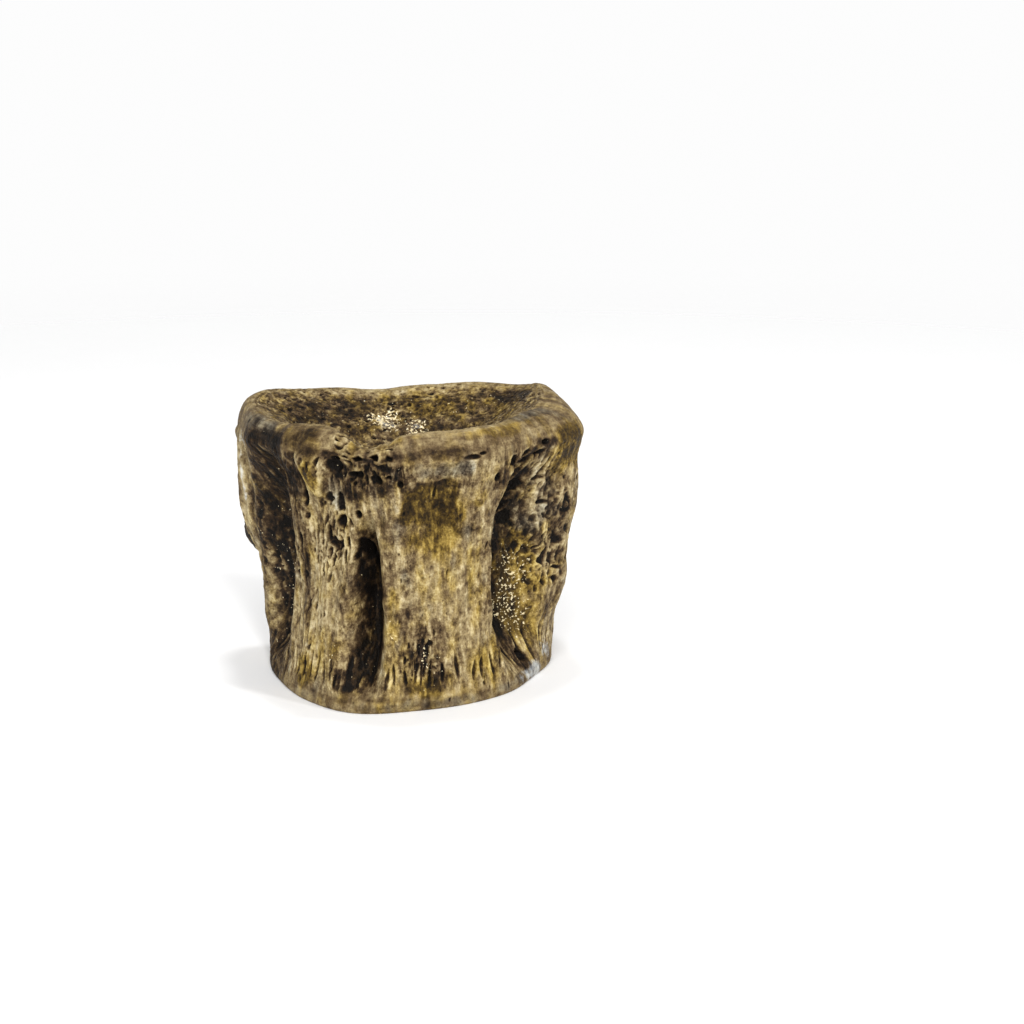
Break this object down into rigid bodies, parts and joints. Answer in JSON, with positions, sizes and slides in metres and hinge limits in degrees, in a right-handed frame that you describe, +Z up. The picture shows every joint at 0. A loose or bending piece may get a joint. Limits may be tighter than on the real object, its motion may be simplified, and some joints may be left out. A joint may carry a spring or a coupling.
{
  "type": "fossil fish vertebra",
  "caption": "Spool-shaped fossil fish vertebra standing on one end, with a cone-shaped hollow in each end, rounded rims and lengthwise ridges, grooves and pits round its waist.",
  "frame": {"origin": "on the floor, under the centre of the bone's bounding box", "axes": "+Z up through both cone-shaped hollows, +X to the right along the bone's width, and -Y towards the side that faces the viewer, with a narrow dark groove left of its middle ridge"},
  "size_m": [0.0369, 0.0316, 0.0289],
  "materials": {
    "bone": "satin"
  },
  "bodies": {
    "root": {"centrum": "bone"}
  },
  "joints": []
}
